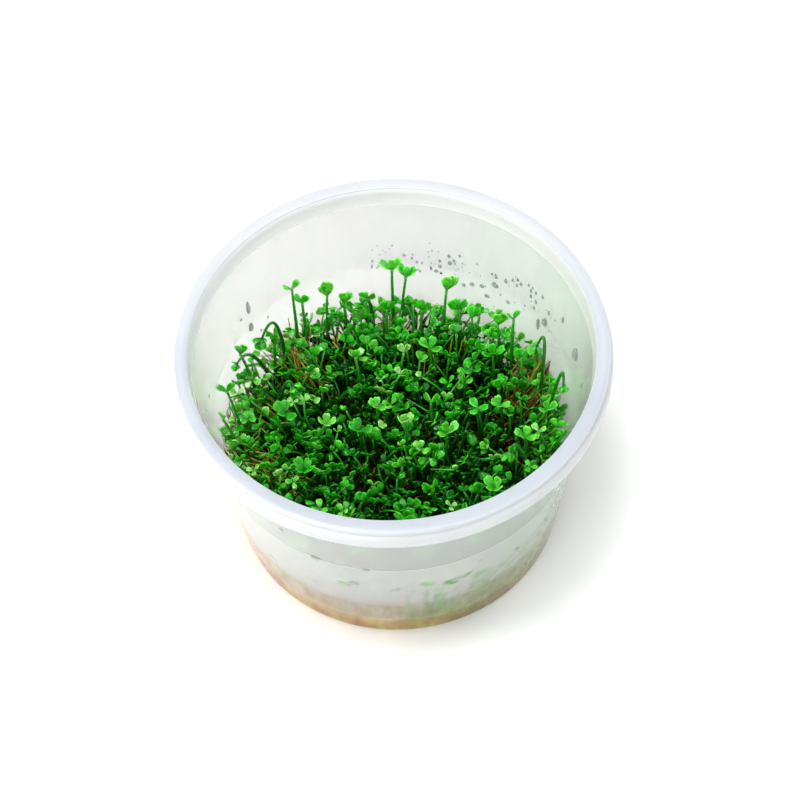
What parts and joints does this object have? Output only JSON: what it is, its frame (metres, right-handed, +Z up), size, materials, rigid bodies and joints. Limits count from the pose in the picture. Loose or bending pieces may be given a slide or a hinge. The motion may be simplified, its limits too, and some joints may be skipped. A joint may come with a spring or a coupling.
{
  "type": "water clover in a culture cup",
  "caption": "Water clover, a small carpeting aquarium fern, grown in a clear round culture cup on a layer of amber gel, ready to be split and planted.",
  "frame": {"origin": "centre of the cup's foot, on the surface it stands on", "axes": "+Z up along the cup's axis; the cup is round, so +X and +Y only fix where the fronds stand: the tallest row is on the +Y side"},
  "size_m": [0.1, 0.1, 0.0615],
  "materials": {
    "cup_plastic": "milky clear, smooth moulded",
    "amber_gel": "clear wet gel",
    "root_brown": "matted roots",
    "low_green": "shaded crowded leaves",
    "frond_green": "fresh wet leaf"
  },
  "bodies": {
    "root": {"culture_cup": "cup_plastic", "agar_gel": "amber_gel", "root_mat": "root_brown", "low_fronds": "low_green", "back_frond_1": "frond_green", "back_frond_2": "frond_green", "back_frond_3": "frond_green", "back_frond_4": "frond_green", "back_frond_5": "frond_green", "back_frond_6": "frond_green", "back_frond_7": "frond_green", "back_frond_8": "frond_green", "back_frond_9": "frond_green", "back_frond_10": "frond_green", "back_frond_11": "frond_green", "back_frond_12": "frond_green", "back_frond_13": "frond_green", "back_frond_14": "frond_green", "right_frond_1": "frond_green", "right_frond_2": "frond_green", "right_frond_3": "frond_green", "right_frond_4": "frond_green", "right_frond_5": "frond_green", "right_frond_6": "frond_green", "right_frond_7": "frond_green", "right_frond_8": "frond_green", "right_frond_9": "frond_green", "left_frond_1": "frond_green", "left_frond_2": "frond_green", "left_frond_3": "frond_green", "left_frond_4": "frond_green", "left_frond_5": "frond_green", "left_frond_6": "frond_green", "left_frond_7": "frond_green", "left_frond_8": "frond_green", "left_frond_9": "frond_green", "middle_frond_1": "frond_green", "middle_frond_2": "frond_green", "middle_frond_3": "frond_green", "middle_frond_4": "frond_green", "middle_frond_5": "frond_green", "middle_frond_6": "frond_green", "middle_frond_7": "frond_green", "middle_frond_8": "frond_green", "middle_frond_9": "frond_green", "middle_frond_10": "frond_green", "middle_frond_11": "frond_green", "middle_frond_12": "frond_green", "middle_frond_13": "frond_green", "middle_frond_14": "frond_green", "middle_frond_15": "frond_green", "front_frond_1": "frond_green", "front_frond_2": "frond_green", "front_frond_3": "frond_green", "front_frond_4": "frond_green", "front_frond_5": "frond_green", "front_frond_6": "frond_green", "front_frond_7": "frond_green", "front_frond_8": "frond_green", "front_frond_9": "frond_green"}
  },
  "joints": []
}
